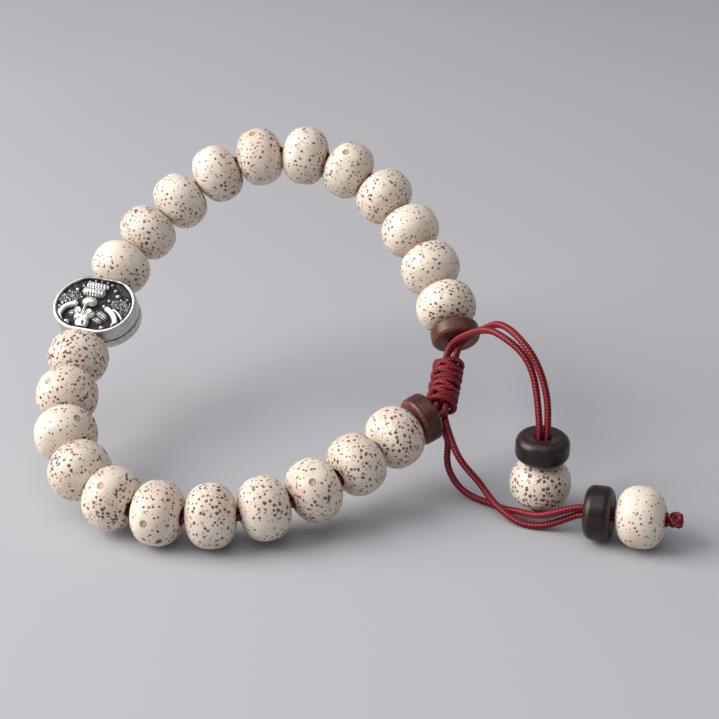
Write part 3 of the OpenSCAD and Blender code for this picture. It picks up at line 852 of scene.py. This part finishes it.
def silver_bead():
    """An oval bead with a sunk relief on both faces inside a rounded rim."""
    at, axis = spin_of("silver_bead")
    sx, sy = axes_along(axis)
    turn = math.radians(-88)        # of the face about the cord, as in the CAD
    across = math.cos(turn) * sx + math.sin(turn) * sy
    normal = math.sin(turn) * sx - math.cos(turn) * sy
    W, L, T = 14.4, 11.0, 4.8       # width, length along the cord and thickness
    R = L / 2
    k = W / 2 - R
    cols = 360
    # outline of the bead, evenly spaced
    th = np.linspace(0, TAU, 4001)[:-1]
    ox = R * np.cos(th) + k * np.sign(np.cos(th))
    oy = R * np.sin(th)
    o = np.stack([ox, oy], 1)
    o = evenly(np.c_[np.vstack([o, o[:1]]), np.zeros(len(o) + 1)], 0.01)[:, :2]
    o = o[np.linspace(0, len(o) - 1, cols + 1).astype(int)[:-1]]
    nrm = np.stack([np.gradient(o[:, 1]), -np.gradient(o[:, 0])], 1)
    nrm[0] = nrm[-1] = (1, 0)
    nrm /= np.linalg.norm(nrm, axis=1)[:, None]

    rim = 0.70          # width of the rim
    sunk = 0.60         # depth of the ground below the rim
    relief_top = 0.60   # height in mm of one unit of relief
    soft_edge = 0.45    # how much of the side wall bulges in at each end

    def ground(x, y):
        return T / 2 - sunk + 0.30 * np.clip(1 - (x / 6.6) ** 2 - (y / 5.0) ** 2, 0, 1)

    def face(sign):
        """Rings (x, y, z, depth) from the middle of a face out over its rim."""
        steps = np.linspace(0.004, 1, 150)
        p = steps[:, None, None] * (o - rim * nrm)
        x, y = p[..., 0], p[..., 1]
        h = relief(sign * x - 0.20, y + 0.35) * np.clip((1 - steps) / 0.03, 0, 1)[:, None]
        # black where the relief is lower than what is around it, bright where it is higher
        around = np.mean([np.roll(h, k, axis=1) for k in range(-6, 7, 2)], axis=0)
        around = np.mean([np.roll(around, k, axis=0) for k in range(-4, 5, 2)], axis=0)
        level = np.clip(0.10 + 0.50 * h, 0, 0.90)
        level = level - 1.5 * np.clip(around - h, 0, 0.4) + 0.5 * np.clip(h - around, 0, 0.3)
        out = [(x[i], y[i], ground(x[i], y[i]) + relief_top * h[i], np.clip(level[i], 0, 1))
               for i in range(len(steps))]
        z0 = out[-1][2]
        for a in np.linspace(0, math.pi / 2, 8)[1:]:
            # up over the round inner half of the rim, duller near the upper mouth of the bore
            z = z0 + (T / 2 - z0) * math.sin(a)
            p = o - (rim - 0.5 * rim * (1 - math.cos(a))) * nrm
            dull = 0.45 * np.clip((p[:, 1] - 3.6) / 0.8, 0, 1) * np.clip(4.6 - np.abs(p[:, 0]), 0, 1)
            out.append((p[:, 0], p[:, 1], z, 0.20 + 0.75 * math.sin(a) ** 2 - dull))
        return out

    rings = face(1)
    top = float(np.mean(rings[0][2]))
    for s in np.linspace(0.0, 1.0, 34)[1:-1]:
        # bulged side wall with an engraved line round it
        zz = (T / 2) * (1 - 2 * s)
        near_edge = max(0.0, (abs(zz) - T / 2 + soft_edge) / soft_edge)
        inset = 0.5 * rim * (1 - math.sqrt(max(0.0, 1 - near_edge ** 2)))
        cut = 0.12 * math.exp(-((s - 0.60) / 0.03) ** 2)
        p = o - (inset + cut) * nrm
        rings.append((p[:, 0], p[:, 1], np.full(cols, zz), np.full(cols, 0.62 - 3.5 * cut)))
    rings += [(x, y, -z, d) for x, y, z, d in face(-1)[::-1]]
    v = np.stack([np.stack(r, 1) for r in rings])
    depth = v[..., 3].ravel()
    local = v[..., :3].reshape(-1, 3)
    # the two mouths of the bore, 2.2 mm deep and black inside
    in_mouth = (np.hypot(local[:, 0], local[:, 2]) < 1.36) & (np.abs(local[:, 1]) > L / 2 - 0.8)
    local[in_mouth, 1] = np.sign(local[in_mouth, 1]) * (L / 2 - 2.2)
    depth[in_mouth] = 0.1
    pts = at + local[:, :1] * across + local[:, 1:2] * axis + local[:, 2:3] * normal
    pts = np.vstack([pts, at + top * normal, at - top * normal])
    faces = grid_faces(len(rings), cols, flip=True) + grid_caps(len(rings), cols)
    depth = np.r_[depth, 1, 1]
    grain = np.vstack([local, [0, 0, T / 2], [0, 0, -T / 2]])
    obj = new_mesh("chased_silver_bead", pts, faces, attributes={"depth": depth, "grain": grain})
    obj.data.materials.append(MAT_SILVER)
    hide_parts("silver_bead")
    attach(obj, "silver_bead")


silver_bead()


# ---------------------------------------------------------------- knots
def joined(name, tubes, sides, radius, seed):
    """One piece from several braided tubes, each a list of points."""
    verts, faces, weave_and_shading_parts, grains = [], [], [], []
    base = 0
    for k, p in enumerate(tubes):
        v, f, w, g = braid(evenly(p, KNOT_STEP), radius, sides, 0.31 * k)
        verts.append(v)
        weave_and_shading_parts.append(w)
        grains.append(g + seed * 11 + k * 3.7)
        faces += [tuple(i + base for i in q) for q in f]
        base += len(v)
    obj = new_mesh(name, np.vstack(verts), faces, attributes={
        "weave_and_shading": np.concatenate(weave_and_shading_parts), "grain": np.vstack(grains)})
    obj.data.materials.append(MAT_CORD)
    return obj


def sliding_knot():
    """Tight wraps that lean one way and the other in turn, with loops standing out on the outer side."""
    length = np.linalg.norm(KNOT_TOP - KNOT_BOTTOM)
    k, s, f = KNOT_AXIS, KNOT_SIDE, KNOT_FRONT
    r = 0.46                # of the cord that the knot is tied in
    wrap_r = 2.05           # keeps the wraps clear of the four strands
    end_gap = 0.95          # from the knot's ends to its first and last wrap
    rng = np.random.default_rng(41)
    tubes = []
    rows = 12
    for i in range(rows):
        mid = end_gap + (length - 2 * end_gap) * i / (rows - 1)
        lean = (0.55 if i % 2 else -0.55) + rng.uniform(-0.2, 0.2)
        wide = wrap_r + rng.uniform(-0.02, 0.05)
        deep = wrap_r + rng.uniform(-0.02, 0.02)
        start = rng.uniform(0, TAU)
        pts = []
        for t in np.linspace(0, TAU * 1.04, 60):
            a = start + t
            rise = lean * math.cos(a) + 0.18 * math.sin(2 * a + i)
            pts.append(KNOT_BOTTOM + min(max(mid + rise, r), length - r) * k
                       + wide * math.cos(a) * s + deep * math.sin(a) * f)
        tubes.append(arr(pts))
    for v in (s, -s, f, -f):
        # the wraps' own ends, tucked in lengthways outside the strands
        steps = np.linspace(0, 1, 12)
        tubes.append(arr([KNOT_BOTTOM + (0.5 + t * (length - 1.0)) * k + 1.55 * v for t in steps]))
    for i in range(4):
        # a small loop that stands out beside the wraps
        mid = 1.5 + (length - 3.0) * i / 3
        pts = []
        for t in np.linspace(-0.15, 1.15, 26) * math.pi:
            out = 1.80 + 0.42 * math.sin(t)
            front = 0.75 + 0.25 * math.cos(t)
            pts.append(KNOT_BOTTOM + (mid + 0.62 * math.cos(t)) * k - out * s + front * f)
        tubes.append(arr(pts))
    obj = joined("knotted_sliding_knot", tubes, WRAP_SIDES, r, 3)
    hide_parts("sliding_knot")
    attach(obj, "sliding_knot")


sliding_knot()


def stopper(name, at, axis, length, radius, body, seed):
    """A small overhand knot, pulled tight, on the end of the strands."""
    x, y = axes_along(axis)
    r = min(0.52, length / 2 - 0.04)
    # a trefoil whose lobes reach out to the knot's radius
    big = (radius - r) / 3
    rise = length / 2 - r
    pts = []
    for t in np.linspace(0, TAU, 110):
        px = math.sin(t) + 2 * math.sin(2 * t)
        py = math.cos(t) - 2 * math.cos(2 * t)
        pts.append(at + (length / 2 - rise * math.sin(3 * t)) * axis + big * (px * x + py * y))
    core = [at + (0.06 + t * (length - 0.12)) * axis for t in np.linspace(0, 1, 12)]
    obj = joined(name, [arr(pts), arr(core)], STOPPER_SIDES, r, seed)
    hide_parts(body + "_stopper")
    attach(obj, body)
    return obj


UPPER_STOP = stopper("knotted_upper_stopper", UPPER_BEAD + KNOT_FROM_BEAD * UPPER_AXIS, UPPER_AXIS,
                     1.3, 1.4, "upper_tail", 21)
LOWER_STOP = stopper("knotted_lower_stopper", LOWER_BEAD + KNOT_FROM_BEAD * LOWER_AXIS, LOWER_AXIS,
                     2.2, 1.4, "lower_tail", 22)

# ---------------------------------------------------------------- free cords
# Each free strand's transform is baked into its points.
for name, strand in STRANDS.items():
    path = TAILS[name]
    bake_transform(strand)


# ---------------------------------------------------------------- floor and light
def make_stage():
    s = 1.6                 # half the floor's side, in metres
    me = bpy.data.meshes.new("floor")
    corners = [(-s, -s, FLOOR_Z), (s, -s, FLOOR_Z), (s, s, FLOOR_Z), (-s, s, FLOOR_Z)]
    me.from_pydata(corners, [], [(0, 1, 2, 3)])
    floor = bpy.data.objects.new("floor", me)
    bpy.context.scene.collection.objects.link(floor)
    m, nt, bsdf = material("floor")
    coords = node(nt, "ShaderNodeTexCoord")
    tone = noise(nt, coords.outputs["Object"], 6.0, 2)
    colour = ramp(nt, tone.outputs[0], [(0.3, (0.415, 0.412, 0.435)), (0.7, (0.435, 0.432, 0.455))])
    link(nt, colour, bsdf.inputs["Base Color"])
    bsdf.inputs["Roughness"].default_value = 0.6
    bsdf.inputs["Specular IOR Level"].default_value = 0.3
    me.materials.append(m)


def area_light(name, at, target, size, power, colour):
    data = bpy.data.lights.new(name, "AREA")
    data.shape = "RECTANGLE"
    data.size = size
    data.size_y = size
    data.energy = power
    data.color = colour
    obj = bpy.data.objects.new(name, data)
    obj.location = at
    obj.rotation_euler = (Vector(target) - Vector(at)).to_track_quat("-Z", "Y").to_euler()
    bpy.context.scene.collection.objects.link(obj)


make_stage()
area_light("key", (-0.65, -0.10, 0.40), (0, -0.03, -0.03), 0.60, 8.8, (1.0, 0.985, 0.96))
area_light("top", (-0.15, -0.15, 0.70), (0, 0.05, -0.03), 0.80, 2.4, (0.97, 0.98, 1.0))
world = bpy.data.worlds.new("world")
bpy.context.scene.world = world
world.use_nodes = True
background = world.node_tree.nodes["Background"]
background.inputs["Color"].default_value = (0.80, 0.82, 0.86, 1)
background.inputs["Strength"].default_value = 0.36

# plain display colours, as in the photo
bpy.context.scene.view_settings.view_transform = "Standard"
